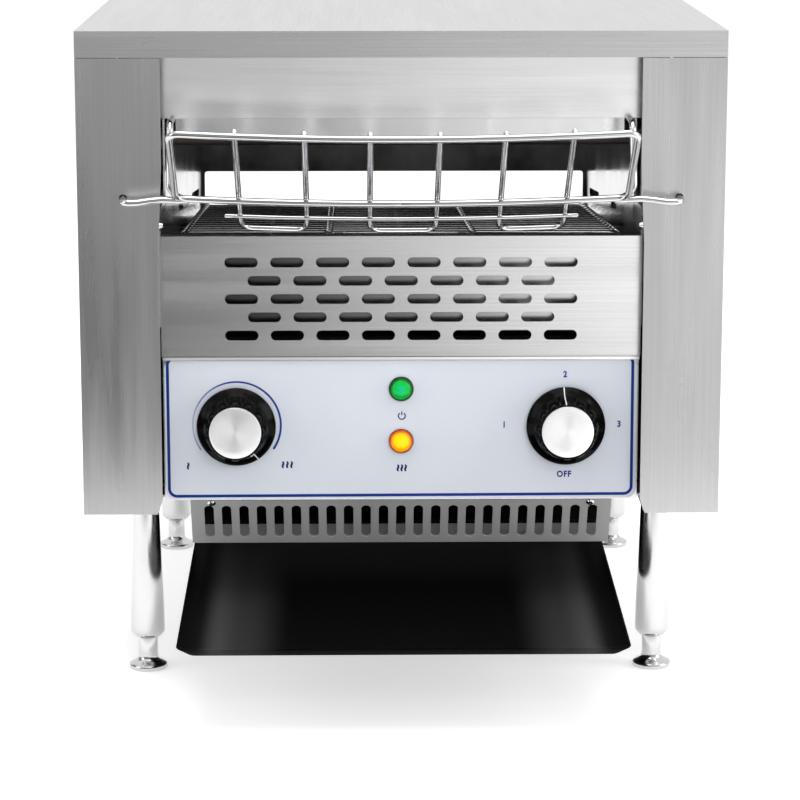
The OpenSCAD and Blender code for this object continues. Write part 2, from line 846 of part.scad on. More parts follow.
module loading_rack() {
  upright_r = 1.6;
  rail_r = 2;
  arm_r = 1.9; // thinner than the rail, so that the welded ends stay inside it
  up = rack_rail_up;
  off = rack_rail_off;
  y = rack_rail[1];
  z = rack_rail[2];
  pin = rack_pin[0];
  color([0.82, 0.83, 0.84]) placed() {
    // the uprights are bent in pairs, so that each pair ends in a U loop near the belt
    for (i = [0:2:4]) {
      a = rack_xs[i];
      b = rack_xs[i + 1];
      wires([rack_point(a, rack_len, 0), rack_point(a, 4, 0), rack_point(a + 4, 0, 0),
        rack_point(b - 4, 0, 0), rack_point(b, 4, 0), rack_point(b, rack_len, 0)], upright_r);
    }
    wire(rack_point(-100, 17.6, 2.5), rack_point(100, 17.6, 2.5), 1.2);
    // side arms and top bar in one bend, welded to the rail below
    wires([rack_point(-127.5, up, off), rack_point(-127.5, rack_len - 6, off),
      rack_point(-121.5, rack_len, off), rack_point(121.5, rack_len, off),
      rack_point(127.5, rack_len - 6, off), rack_point(127.5, up, off)], arm_r);
    // the rail ends in pins that sit in the flanges of the side covers
    wires([[-pin, -4, z], [-pin, y + 4, z], [4 - pin, y, z],
      [pin - 4, y, z], [pin, y + 4, z], [pin, -4, z]], rail_r);
    // hangers whose tips bear up under the hood's lower edge
    for (s = [-1, 1])
      wires([[s * 126, y, z], [s * 130.8, y + 1, z + 5.7],
        [s * 130.8, -18, 326], [s * 130.8, -11.5, 333.5], [s * 130.8, 8, 333.5]], arm_r);
  }
}

// a domed screw head with a cross recess, on its shank
module screw(r, h, shank) {
  difference() {
    union() {
      cylinder(r = r, h = h * 0.45);
      translate([0, 0, h * 0.45]) cylinder(r1 = r, r2 = r * 0.6, h = h * 0.55);
    }
    for (a = [0, 90]) rotate(a) translate([-r * 0.5, -0.35, h * 0.5]) cube([r, 0.7, h]);
  }
  translate([0, 0, -shank]) cylinder(r = 1.3, h = shank + 0.1);
}

module panel_screws() {
  color([0.5, 0.5, 0.51]) placed() {
    for (s = [-1, 1]) {
      translate([s * vent_screw_x, vent_top[0], vent_top[1]]) rotate([vent_lean, 0, 0])
        translate([0, -0.1, -vent_screw_drop]) rotate([90, 0, 0]) screw(2.4, 1.4, 2);
      for (z = rear_screw_zs)
        translate([s * rear_screw_x, body_d + 0.1, z]) rotate([-90, 0, 0]) screw(3.4, 2, 7);
      translate([s * (wall_x - 0.1), wall_screw[0], wall_screw[1]]) rotate([0, -s * 90, 0])
        screw(3.4, 3.8, 4);
    }
  }
}

base_frame();
left_inner_wall();
right_inner_wall();
left_chamber_liner();
right_chamber_liner();
left_side_cover();
right_side_cover();
hood();
hood_front_panel();
rear_panel();
chamber_rear_wall();
front_vent_panel();
front_heat_shield();
control_panel();
control_overlay();
lower_vent_panel();
chute_ceiling();
control_heat_shield();
return_slide();
collection_tray();
tray_runners();
upper_heating_tubes();
lower_heating_tubes();
heater_insulators();
upper_reflector();
lower_reflector();
conveyor_belt();
belt_links();
belt_support_rails();
front_belt_sprockets();
rear_belt_sprockets();
front_shaft();
rear_shaft();
shaft_bearings();
rear_chain_sprocket();
motor_sprocket();
drive_chain();
motor_bracket();
drive_gearbox();
drive_motor();
speed_knob();
speed_knob_cap();
speed_spindle();
selector_knob();
selector_knob_cap();
selector_spindle();
speed_control();
selector_switch();
lamp_holders();
power_lamp();
heat_lamp();
terminal_block();
cord_gland();
legs();
front_left_foot();
front_right_foot();
rear_left_foot();
rear_right_foot();
loading_rack();
panel_screws();
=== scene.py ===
import math
import bmesh
import bpy
import numpy as np
from mathutils import Matrix, Vector


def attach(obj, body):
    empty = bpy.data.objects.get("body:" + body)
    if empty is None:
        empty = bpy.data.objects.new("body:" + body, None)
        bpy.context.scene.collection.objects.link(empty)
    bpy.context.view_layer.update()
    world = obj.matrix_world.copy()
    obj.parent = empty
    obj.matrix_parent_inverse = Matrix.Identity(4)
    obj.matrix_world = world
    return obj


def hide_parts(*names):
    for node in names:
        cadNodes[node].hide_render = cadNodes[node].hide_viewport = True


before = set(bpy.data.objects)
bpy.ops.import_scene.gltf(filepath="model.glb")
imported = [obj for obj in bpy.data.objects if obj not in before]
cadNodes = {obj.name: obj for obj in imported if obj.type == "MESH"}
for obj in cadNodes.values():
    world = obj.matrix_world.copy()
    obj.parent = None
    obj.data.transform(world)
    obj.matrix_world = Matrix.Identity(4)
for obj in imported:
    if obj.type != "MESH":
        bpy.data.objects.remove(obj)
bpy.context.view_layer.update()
mm = 0.001
# the slotted panel's face, from which every y below is counted, in mm
faceY = min(corner[1] for corner in cadNodes["front_vent_panel"].bound_box) / mm


# shapes: each is a pair of its points in mm and a list of face arrays

def unit(v):
    # v divided by its length
    v = np.asarray(v, float)
    return v / np.linalg.norm(v, axis=-1, keepdims=True)


def gridFaces(rows, columns, closeRows=False, closeColumns=False):
    # quad i, j joins (i, j), (i, j+1), (i+1, j+1), (i+1, j); a closed side joins its last line to its first
    i = np.arange(rows if closeRows else rows - 1)[:, None]
    j = np.arange(columns if closeColumns else columns - 1)[None, :]
    n, m = (i + 1) % rows, (j + 1) % columns
    corners = [i * columns + j, i * columns + m, n * columns + m, n * columns + j]
    return np.stack(corners, -1).reshape(-1, 4)


def endCaps(rows, columns):
    # one face over the first row of a grid and one over the last
    ring = np.arange(columns)[None]
    return [ring[:, ::-1], (rows - 1) * columns + ring]


def joined(shapes):
    # shapes put one after another in one list of points, their face numbers shifted to match
    points, faces, start = [], [], 0
    for p, fs in shapes:
        points.append(p)
        faces += [np.asarray(f) + start for f in fs]
        start += len(p)
    return np.concatenate(points), faces


def lathe(profile, centre, axis, sides=64, lobes=None):
    # radius r at height h, turned once round the axis; lobes scales r by the angle and the height
    axis = unit(axis)
    across = unit(np.cross(axis, [0.0, 0.0, 1.0] if abs(axis[2]) < 0.9 else [1.0, 0.0, 0.0]))
    other = np.cross(axis, across)
    r, h = np.asarray(profile, float).T
    a = np.linspace(0, 2 * np.pi, sides, endpoint=False)[None, :]
    rr = r[:, None] * (lobes(a, h[:, None]) if lobes else np.ones_like(a))
    around = np.cos(a)[..., None] * across + np.sin(a)[..., None] * other
    points = np.asarray(centre, float) + rr[..., None] * around + h[:, None, None] * axis
    return points.reshape(-1, 3), [gridFaces(len(r), sides, closeColumns=True)]


def roundedPath(corners, radius, steps=6, closed=False):
    # a chain of straight lines whose corners are replaced by arcs that touch both lines
    corners = [np.asarray(c, float) for c in corners]
    n, out = len(corners), []
    for k in range(n):
        if not closed and k in (0, n - 1):
            out.append(corners[k][None])
            continue
        here, a, b = corners[k], corners[k - 1], corners[(k + 1) % n]
        u, v = unit(a - here), unit(b - here)
        half = math.acos(np.clip(u @ v, -1, 1)) / 2
        room = 0.48 * min(np.linalg.norm(a - here), np.linalg.norm(b - here))
        reach = min(radius / math.tan(half), room)
        middle = here + unit(u + v) * reach * math.tan(half) / math.sin(half)
        start, end = here + u * reach - middle, here + v * reach - middle
        swing = math.pi - 2 * half
        t = np.linspace(0, 1, steps + 1)[:, None]
        arc = (np.sin((1 - t) * swing) * start + np.sin(t * swing) * end) / math.sin(swing)
        out.append(middle + arc)
    return np.concatenate(out)


def tube(path, radius, flatSide, sides):
    # a circle carried along the path, square to its direction, with a low dome at each end
    path = np.asarray(path, float)
    t = unit(np.gradient(path, axis=0))
    side = unit(np.cross(t, flatSide))
    up = np.cross(side, t)
    k = np.radians([90, 66, 38, 14])
    dome = radius * 0.7 * np.sin(k)[:, None]
    path = np.concatenate([path[0] - t[0] * dome, path, path[-1] + t[-1] * dome[::-1]])
    side, up = (np.pad(v, ((4, 4), (0, 0)), "edge") for v in (side, up))
    r = np.concatenate([radius * np.cos(k), np.full(len(t), float(radius)), radius * np.cos(k[::-1])])
    a = np.linspace(0, 2 * np.pi, sides, endpoint=False)[None, :, None]
    points = path[:, None] + r[:, None, None] * (np.cos(a) * side[:, None] + np.sin(a) * up[:, None])
    return points.reshape(-1, 3), [gridFaces(len(path), sides, closeColumns=True)]


def profileAlongX(outline, x0, x1):
    # a closed outline in (y, z) carried from x0 to x1 and capped at both ends
    n = len(outline)
    points = np.concatenate([np.insert(outline, 0, x, axis=1) for x in (x0, x1)])
    return points, [gridFaces(2, n, closeColumns=True)] + endCaps(2, n)


def bentSheet(line, thickness, radius):
    # a line in (y, z) with rounded corners, thickened to its left, as a closed outline
    line = roundedPath(line, radius)
    ahead = np.gradient(line, axis=0)
    left = unit(np.stack([-ahead[:, 1], ahead[:, 0]], -1))
    return np.concatenate([line, (line + left * thickness)[::-1]])


def finished(name, mesh, finish, body, replaced=(), sharp=38):
    # the mesh is shaded smooth up to the sharp angle in degrees and becomes a piece that rides on a body
    mesh.polygons.foreach_set("use_smooth", np.ones(len(mesh.polygons), bool))
    mesh.set_sharp_from_angle(angle=math.radians(sharp))
    piece = bpy.data.objects.new(name, mesh)
    bpy.context.scene.collection.objects.link(piece)
    mesh.materials.append(finish)
    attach(piece, body)
    if replaced:
        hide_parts(*replaced)
    return piece


def addPiece(name, shape, finish, body, replaced=(), sharp=38):
    # the computed points and faces become one welded mesh with its faces turned outwards
    points, faces = shape
    mesh = bpy.data.meshes.new(name)
    world = (np.asarray(points) + [0, faceY, 0]) * mm
    mesh.from_pydata(world.tolist(), [], [f for fs in faces for f in np.asarray(fs).tolist()])
    shaped = bmesh.new()
    shaped.from_mesh(mesh)
    bmesh.ops.remove_doubles(shaped, verts=shaped.verts, dist=2e-6)
    bmesh.ops.recalc_face_normals(shaped, faces=shaped.faces)
    shaped.to_mesh(mesh)
    shaped.free()
    return finished(name, mesh, finish, body, replaced, sharp)


def softened(node, finish, width=0.35):
    # a copy of a CAD node with its loose triangles merged and its sharp edges rolled over by a width in mm
    mesh = cadNodes[node].data.copy()
    mesh.name = node + "Soft"
    mesh.materials.clear()
    shaped = bmesh.new()
    shaped.from_mesh(mesh)
    bmesh.ops.remove_doubles(shaped, verts=shaped.verts, dist=4e-6)
    flat = math.radians(1.0)
    bmesh.ops.dissolve_limit(shaped, angle_limit=flat, verts=shaped.verts, edges=shaped.edges)
    shaped.to_mesh(mesh)
    shaped.free()
    piece = finished(node + "Soft", mesh, finish, "chassis", [node], 30)
    sharpEdges = np.zeros(len(mesh.edges), bool)
    if "sharp_edge" in mesh.attributes:
        mesh.attributes["sharp_edge"].data.foreach_get("value", sharpEdges)
    weights = mesh.attributes.new("bevel_weight_edge", "FLOAT", "EDGE")
    weights.data.foreach_set("value", sharpEdges.astype(np.float32))
    bevel = piece.modifiers.new("rolledEdge", "BEVEL")
    bevel.width = width * mm
    bevel.segments = 3
    bevel.limit_method = "WEIGHT"
    bevel.harden_normals = True
    return piece


# finishes

def newFinish(name, rough=0.5, metallic=0.0, specular=0.5):
    finish = bpy.data.materials.new(name)
    finish.use_nodes = True
    shader = finish.node_tree.nodes["Principled BSDF"]
    shader.inputs["Roughness"].default_value = rough
    shader.inputs["Metallic"].default_value = metallic
    shader.inputs["Specular IOR Level"].default_value = specular
    return finish, shader


def addNode(owner, kind, settings=None, **sockets):
    node = owner.node_tree.nodes.new(kind)
    for key, value in (settings or {}).items():
        setattr(node, key, value)
    for key, value in sockets.items():
        node.inputs[key].default_value = value
    return node


def join(owner, start, out, end, into):
    owner.node_tree.links.new(start.outputs[out], end.inputs[into])


def worked(owner, operation, *values, clamp=False):
    # the result of a sum whose terms are numbers or output sockets
    node = addNode(owner, "ShaderNodeMath", {"operation": operation, "use_clamp": clamp})
    for k, value in enumerate(values):
        if isinstance(value, (int, float)):
            node.inputs[k].default_value = value
        else:
            owner.node_tree.links.new(value, node.inputs[k])
    return node.outputs[0]


def mapped(owner, value, span, low=0.0, high=1.0, settings=None):
    # a value carried from its span to the range from low to high
    node = addNode(owner, "ShaderNodeMapRange", settings)
    node.inputs["From Min"].default_value, node.inputs["From Max"].default_value = span
    node.inputs["To Min"].default_value, node.inputs["To Max"].default_value = low, high
    owner.node_tree.links.new(value, node.inputs["Value"])
    return node.outputs["Result"]


def alongX(owner):
    # the object's own x
    where = addNode(owner, "ShaderNodeTexCoord")
    apart = addNode(owner, "ShaderNodeSeparateXYZ")
    join(owner, where, "Object", apart, 0)
    return apart.outputs["X"]


def fromCentre(owner, x, z):
    # the way in (x, z) from a centre on the front, as a node, and its length, as a socket
    where = addNode(owner, "ShaderNodeTexCoord")
    centred = addNode(owner, "ShaderNodeMapping", Location=(-x * mm, 0, -z * mm), Scale=(1, 0, 1))
    far = addNode(owner, "ShaderNodeVectorMath", {"operation": "LENGTH"})
    join(owner, where, "Object", centred, "Vector")
    join(owner, centred, "Vector", far, 0)
    return centred, far.outputs["Value"]


def noise(finish, stretch, detail, roughness=0.5):
    # fractal noise in object coordinates: stretch is its number of grains per metre along each axis
    where = addNode(finish, "ShaderNodeTexCoord")
    mapping = addNode(finish, "ShaderNodeMapping", Scale=stretch)
    texture = addNode(finish, "ShaderNodeTexNoise", Scale=1.0, Detail=detail, Roughness=roughness)
    join(finish, where, "Object", mapping, "Vector")
    join(finish, mapping, "Vector", texture, "Vector")
    return texture


def ramp(finish, value, stops):
    node = addNode(finish, "ShaderNodeValToRGB")
    line = node.color_ramp
    line.elements[0].position, line.elements[0].color = stops[0]
    line.elements[1].position, line.elements[1].color = stops[-1]
    for position, colour in stops[1:-1]:
        line.elements.new(position).color = colour
    finish.node_tree.links.new(value, node.inputs["Fac"])
    return node


def grey(v, blue=0.0):
    return (v, v, v + blue, 1.0)


noiseSpan = (0.3, 0.7)  # most of a noise lies between these values


def tint(finish, shader, texture, low, high):
    # the colour follows a noise from low to high
    colour = ramp(finish, texture.outputs[0], [(noiseSpan[0], low), (noiseSpan[1], high)])
    join(finish, colour, "Color", shader, "Base Color")


def roughen(finish, shader, texture, low, high):
    # the roughness follows a noise from low to high
    part = mapped(finish, texture.outputs[0], noiseSpan, low, high)
    finish.node_tree.links.new(part, shader.inputs["Roughness"])


def bump(finish, shader, texture, height):
    # the normal leans by a noise of so many mm
    node = addNode(finish, "ShaderNodeBump", Strength=1.0, Distance=height * mm)
    join(finish, texture, 0, node, "Height")
    join(finish, node, "Normal", shader, "Normal")


brush = {"scratch": (2600, 9), "band": (90, 6), "height": 0.006}  # grains per metre across and along


def drawnOut(grains, axis):
    # few grains along one axis and many across it
    return tuple(grains[1] if k == axis else grains[0] for k in range(3))


def brushed(finish, shader, scratches, bands, tone, rough):
    # the scratches move the colour and the normal a little, the bands the roughness
    tint(finish, shader, scratches, grey(tone * 0.9), grey(tone * 1.04, 0.004))
    roughen(finish, shader, bands, rough * 0.85, rough * 1.15)
    bump(finish, shader, scratches, brush["height"])
    return finish


def brushedSteel(name, tone, rough, axis):
    # fine scratches: noise drawn out along one axis
    finish, shader = newFinish(name, metallic=1.0)
    scratches = noise(finish, drawnOut(brush["scratch"], axis), 3.0, 0.65)
    bands = noise(finish, drawnOut(brush["band"], axis), 2.0)
    return brushed(finish, shader, scratches, bands, tone, rough)


def foldedSteel(name, tone, rough):
    # brushed along y, but along x where |normal y| > 0.6, on the faces that look along y
    finish, shader = newFinish(name, metallic=1.0)
    where = addNode(finish, "ShaderNodeTexCoord")
    apart = addNode(finish, "ShaderNodeSeparateXYZ")
    join(finish, where, "Normal", apart, 0)
    facing = worked(finish, "GREATER_THAN", worked(finish, "ABSOLUTE", apart.outputs["Y"]), 0.6)

    def picked(grains, detail):
        mix = addNode(finish, "ShaderNodeMix", {"data_type": "FLOAT"})
        finish.node_tree.links.new(facing, mix.inputs[0])
        join(finish, noise(finish, drawnOut(grains, 1), detail), 0, mix, 2)
        join(finish, noise(finish, drawnOut(grains, 0), detail), 0, mix, 3)
        return mix

    scratches, bands = picked(brush["scratch"], 3.0), picked(brush["band"], 2.0)
    return brushed(finish, shader, scratches, bands, tone, rough)


def polishedSteel(name, tone, rough, waves):
    # almost a mirror, with the slow waviness of rolled sheet and faint hazy patches
    finish, shader = newFinish(name, metallic=1.0)
    haze = noise(finish, (30, 30, 30), 4.0)
    tint(finish, shader, haze, grey(tone * 0.95), grey(tone, 0.006))
    roughen(finish, shader, haze, rough * 0.7, rough * 1.5)
    bump(finish, shader, noise(finish, (14, 9, 17), 1.0), waves)
    return finish


def plainFinish(name, low, high, rough, size=600, height=0.01, metallic=0.0, specular=0.5):
    # a moulded, cast or painted skin: patches in the colour and the roughness, fine grain in the normal
    finish, shader = newFinish(name, metallic=metallic, specular=specular)
    patches = noise(finish, (25, 25, 25), 3.0)
    tint(finish, shader, patches, low, high)
    roughen(finish, shader, patches, rough * 0.85, rough * 1.2)
    bump(finish, shader, noise(finish, (size,) * 3, 3.0), height)
    return finish


def spunAluminium(name, x, z, tone=0.98):
    # turned face: noise along the distance from the centre gives rings, and the tangent is the way from the
    # centre crossed with y, so that light spreads into fans
    finish, shader = newFinish(name, 0.3, 0.9)
    centred, far = fromCentre(finish, x, z)
    rings = addNode(finish, "ShaderNodeTexNoise", {"noise_dimensions": "1D"}, Scale=5200.0, Detail=3.0)
    finish.node_tree.links.new(far, rings.inputs["W"])
    tint(finish, shader, rings, grey(tone * 0.94), grey(tone))
    around = addNode(finish, "ShaderNodeVectorMath", {"operation": "CROSS_PRODUCT"})
    around.inputs[1].default_value = (0, 1, 0)
    turn = {"vector_type": "VECTOR", "convert_from": "OBJECT", "convert_to": "WORLD"}
    carried = addNode(finish, "ShaderNodeVectorTransform", turn)
    join(finish, centred, "Vector", around, 0)
    join(finish, around, "Vector", carried, 0)
    join(finish, carried, "Vector", shader, "Tangent")
    shader.inputs["Anisotropic"].default_value = 0.72
    bump(finish, shader, rings, 0.004)
    return finish


def lensFinish(name, z, radius, stops, glow, sway=0.12):
    # a lit lens: colour and glow fall off from the lamp behind its middle to a dark rim, a little unevenly
    finish, shader = newFinish(name, 0.12, specular=0.25)
    far = fromCentre(finish, 0, z)[1]
    ripple = noise(finish, (420, 420, 420), 2.0).outputs[0]
    part = worked(finish, "DIVIDE", far, radius * mm)
    swayed = worked(finish, "ADD", worked(finish, "MULTIPLY_ADD", ripple, sway, part), -sway / 2)
    colour = ramp(finish, swayed, stops)
    join(finish, colour, "Color", shader, "Base Color")
    join(finish, colour, "Color", shader, "Emission Color")
    shader.inputs["Emission Strength"].default_value = glow
    return finish


def acrossFinish(name, span, stops, rough, metallic, specular=0.5, height=0.004):
    # a skin whose colour follows x through the stops between two places in mm, with a fine grain
    finish, shader = newFinish(name, rough, metallic, specular)
    part = mapped(finish, alongX(finish), (span[0] * mm, span[1] * mm))
    colour = ramp(finish, part, stops)
    colour.color_ramp.interpolation = "EASE"
    join(finish, colour, "Color", shader, "Base Color")
    bump(finish, shader, noise(finish, (900, 900, 900), 2.0), height)
    return finish


def greyStops(*pairs):
    return [(place, grey(tone)) for place, tone in pairs]


finishes = {
    "panelSteel": brushedSteel("panelSteel", 0.80, 0.22, 0),
    "flangeSteel": brushedSteel("flangeSteel", 0.54, 0.3, 2),
    "rearSteel": brushedSteel("rearSteel", 0.5, 0.3, 0),
    "sideSteel": foldedSteel("sideSteel", 0.58, 0.28),
    "linerSteel": polishedSteel("linerSteel", 0.70, 0.16, 0.02),
    "chrome": polishedSteel("chrome", 0.62, 0.07, 0.0),
    "legSteel": polishedSteel("legSteel", 0.64, 0.16, 0.0),
}
# low and high colour, roughness, grains per metre, bump in mm, metallic, specular
plain = {
    "ventSteel": (grey(0.42), grey(0.45), 0.5, 900, 0.006, 0.12),
    "galvanised": (grey(0.42), grey(0.58, 0.01), 0.42, 260, 0.02, 1.0),
    "knobPlastic": (grey(0.0015), grey(0.003), 0.12, 500, 0.001, 0.0, 0.06),
    "blackPlastic": (grey(0.004), grey(0.008), 0.16, 700, 0.006),
    "overlay": ((0.66, 0.695, 0.765, 1), (0.68, 0.715, 0.785, 1), 0.45, 1500, 0.004),
    "blueInk": ((0.006, 0.030, 0.21, 1), (0.008, 0.038, 0.25, 1), 0.45, 600, 0.01, 0.0, 0.1),
    "navyInk": ((0.010, 0.018, 0.10, 1), (0.013, 0.022, 0.12, 1), 0.45, 600, 0.01, 0.0, 0.1),
    "whitePaint": (grey(0.75), grey(0.85), 0.4),
    "bronze": ((0.42, 0.26, 0.10, 1), (0.52, 0.34, 0.14, 1), 0.35, 500, 0.01, 1.0),
    "ceramic": ((0.72, 0.68, 0.60, 1), (0.80, 0.77, 0.70, 1), 0.5, 500, 0.02),
    "chainSteel": (grey(0.12), grey(0.22), 0.35, 500, 0.01, 1.0),
    "darkCast": (grey(0.10), grey(0.16), 0.5, 300, 0.05, 0.6),
    "heaterSheath": ((0.06, 0.055, 0.05, 1), (0.12, 0.10, 0.09, 1), 0.5, 300, 0.02, 0.7),
    "creamPlastic": ((0.62, 0.60, 0.52, 1), (0.68, 0.66, 0.58, 1), 0.45),
    "boardGreen": ((0.03, 0.10, 0.05, 1), (0.04, 0.14, 0.07, 1), 0.4),
    # steel coloured dark grey: painted shade for parts deep inside the chamber
    "paintedShadeSteel": (grey(0.07), grey(0.18), 0.4, 200, 0.02, 0.9),
    "chamberSteel": (grey(0.05), grey(0.30), 0.35, 200, 0.02, 0.95),
    # inner sheets coloured near black: painted shade for the dark inside of the chamber
    "paintedShadeBlack": (grey(0.008), grey(0.02), 0.6, 200, 0.02, 0.5, 0.1),
    "naturalNylon": ((0.60, 0.63, 0.69, 1), (0.64, 0.67, 0.72, 1), 0.5),
}
for name, look in plain.items():
    finishes[name] = plainFinish(name, *look)

# matt black whose strips beside the two rims are painted a shade lighter, a painted highlight
paintedSheenStops = greyStops((0.0, 0.002), (0.04, 0.004), (0.085, 0.045), (0.14, 0.026), (0.25, 0.0014),
                 (0.75, 0.0014), (0.86, 0.026), (0.915, 0.045), (0.96, 0.004), (1.0, 0.002))
# blue ink that pales to violet at the low end of the scale
paling = [(0.0, (0.42, 0.44, 0.62, 1)), (0.25, (0.20, 0.23, 0.48, 1)), (1.0, (0.008, 0.04, 0.26, 1))]
# where the colour starts and ends in x, its stops, roughness, metallic, specular, bump in mm;
# the bare steels are painted darker at their left end and lighter at their right: painted shade and painted
# highlight
across = {
    # the tray's black, with painted highlight strips beside its rims
    "blackCoating": ((-127, 127), paintedSheenStops, 0.6, 0.0, 0.02),
    # heat shield behind the slots: painted shade at the left, painted highlight at the right
    "shieldSteel": ((-100, 100), greyStops((0.0, 0.14), (0.5, 0.27), (1.0, 0.66)), 0.2, 1.0),
    # the slotted panel's lip: painted shade at the left, lighter towards the right
    "lipSteel": ((-135, 135), greyStops((0.0, 0.36), (1.0, 0.68)), 0.3, 1.0),
    # the belt wires: painted shade at the left, painted highlight at the right
    "beltWire": ((-126, 126), greyStops((0.0, 0.42), (0.5, 0.74), (1.0, 0.95)), 0.18, 1.0, 0.5, 0.0),
    "fadingInk": ((-122, -100), paling, 0.45, 0.0, 0.1),
}
for name, look in across.items():
    finishes[name] = acrossFinish(name, *look)
print("finishes made")


# camera, light and floor

view = {"lens": 134.55, "place": (-26.2, faceY - 1700, 522.7), "down": 11.64, "right": 0.86}
eye = bpy.data.objects.new("eye", bpy.data.cameras.new("eye"))
bpy.context.scene.collection.objects.link(eye)
eye.data.lens = view["lens"]
eye.location = Vector(view["place"]) * mm
eye.rotation_euler = (math.radians(90 - view["down"]), 0, math.radians(-view["right"]))
bpy.context.scene.camera = eye
bpy.context.scene.view_settings.view_transform = "Standard"

light = {"sky": 0.55, "floorGlow": 0.57, "aim": (0, 0, 0.2)}
# place and size in metres, power in watts, and whether metal mirrors it
softboxes = {
    "topBox": ((0.1, -0.3, 1.9), (1.6, 1.2), 21, True),
    "frontBox": ((0.5, -2.3, 1.2), (1.2, 0.9), 15, False),
    "leftBox": ((-1.8, -0.8, 0.9), (0.9, 1.2), 7, True),
    "rightBox": ((1.9, -0.6, 0.9), (0.9, 1.3), 14, True),
}
for name, (place, size, power, mirrored) in softboxes.items():
    lamp = bpy.data.lights.new(name, "AREA")
    lamp.shape = "RECTANGLE"
    lamp.size, lamp.size_y = size
    lamp.energy = power
    holder = bpy.data.objects.new(name, lamp)
    bpy.context.scene.collection.objects.link(holder)
    holder.location = place
    holder.rotation_euler = (Vector(light["aim"]) - Vector(place)).to_track_quat("-Z", "Y").to_euler()
    holder.visible_glossy = mirrored


def seenRays(owner):
    # 1 for rays from the camera, off metal or through glass, 0 for the soft rays that light things
    path = addNode(owner, "ShaderNodeLightPath")
    direct = worked(owner, "ADD", path.outputs["Is Camera Ray"], path.outputs["Is Glossy Ray"])
    return worked(owner, "ADD", direct, path.outputs["Is Transmission Ray"], clamp=True)


world = bpy.data.worlds.new("studio")
bpy.context.scene.world = world
world.use_nodes = True
world.node_tree.nodes.clear()
mixedSky = addNode(world, "ShaderNodeMixShader")
world.node_tree.links.new(seenRays(world), mixedSky.inputs[0])
for k, strength in ((1, light["sky"]), (2, 1.0)):
    join(world, addNode(world, "ShaderNodeBackground", Color=grey(1.0), Strength=strength), 0, mixedSky, k)
join(world, mixedSky, 0, addNode(world, "ShaderNodeOutputWorld"), "Surface")

# the floor: a pale diffuse plane whose white glow only the camera and the metal see, so the shadow stays
floorMesh = bpy.data.meshes.new("floor")
floorMesh.from_pydata([(-30, -30, 0), (30, -30, 0), (30, 30, 0), (-30, 30, 0)], [], [(0, 1, 2, 3)])
floor = bpy.data.objects.new("floor", floorMesh)
bpy.context.scene.collection.objects.link(floor)
floorFinish, floorShader = newFinish("paleFloor", 0.9, specular=0.0)
floorShader.inputs["Base Color"].default_value = grey(0.8)
floorShader.inputs["Emission Color"].default_value = grey(1.0)
floorGlow = worked(floorFinish, "MULTIPLY", seenRays(floorFinish), light["floorGlow"])
floorFinish.node_tree.links.new(floorGlow, floorShader.inputs["Emission Strength"])
floorMesh.materials.append(floorFinish)


def card(name, corners, low, high, span):
    # a flag or reflector that only reflections see; its glow goes smoothly from low to high over a span of x
    mesh = bpy.data.meshes.new(name)
    mesh.from_pydata(corners, [], [tuple(range(len(corners)))])
    flag = bpy.data.objects.new(name, mesh)
    bpy.context.scene.collection.objects.link(flag)
    paper = bpy.data.materials.new(name)
    paper.use_nodes = True
    paper.node_tree.nodes.clear()
    rise = mapped(paper, alongX(paper), span, low, high, {"interpolation_type": "SMOOTHSTEP"})
    glow = addNode(paper, "ShaderNodeEmission", Color=grey(1.0))
    paper.node_tree.links.new(rise, glow.inputs["Strength"])
    join(paper, glow, 0, addNode(paper, "ShaderNodeOutputMaterial"), "Surface")
    mesh.materials.append(paper)
    flag.visible_camera = flag.visible_diffuse = flag.visible_shadow = flag.visible_transmission = False


def lying(x0, x1, y0, y1, z=0.02):
    # the corners of a level card
    return [(x0, y0, z), (x1, y0, z), (x1, y1, z), (x0, y1, z)]


card("floorCardFar", lying(-2.4, 0.6, -3.2, -1.0), 0.10, 1.58, (-0.26, 0.46))
card("floorCardNear", lying(-2.4, 0.6, -1.0, -0.55), 0.08, 1.0, (-0.26, 0.46))
card("floorCardEnd", lying(0.6, 2.4, -3.2, -0.55), 1.2, 0.75, (0.6, 1.0))
card("leftFlag", [(-2.6, -3.0, 0.25), (-2.6, 1.6, 0.25), (-2.6, 1.6, 2.6), (-2.6, -3.0, 2.6)],
     0.3, 0.3, (-0.3, 0.3))
card("frontFlag", [(-3.2, -3.4, 0.45), (3.2, -3.4, 0.45), (3.2, -3.4, 2.4), (-3.2, -3.4, 2.4)],
     0.12, 0.5, (-1.5, 2.0))
print("camera, light and floor set")


# conveyor belt

belt = {"radius": 18.6, "strand": 0.65, "steps": 14, "pockets": 6, "fall": 4.43, "zigzag": 2.0,
        "axle": (34.6, 246.9), "columns": (-126.0, -42.0, 42.0, 126.0)}
beltPitch = 2 * belt["radius"] * math.sin(math.pi / belt["pockets"])
fallAngle = math.radians(belt["fall"])
alongRun = np.array([math.cos(fallAngle), -math.sin(fallAngle)])
upFromRun = np.array([math.sin(fallAngle), math.cos(fallAngle)])


def beltPath(s):
    # distance s along the loop gives (y, z) and the outward normal: two straight runs and two half circles
    run, arc = belt["steps"] * beltPitch, belt["pockets"] / 2 * beltPitch
    s = np.mod(s, 2 * run + 2 * arc)
    front = np.array(belt["axle"])
    rear = front + run * alongRun
    past = s[..., None]
    stretches = [past <= run, past <= run + arc, past <= 2 * run + arc]
    turns = np.select(stretches, [0 * past, (past - run) / arc, 1 + 0 * past], (past - 2 * run) / arc) * np.pi
    normal = np.cos(turns) * upFromRun + np.sin(turns) * alongRun
    middles = [front + past * alongRun, rear + 0 * past, rear - (past - run - arc) * alongRun]
    middle = np.select(stretches, middles, front + 0 * past)
    return middle + belt["radius"] * normal, normal


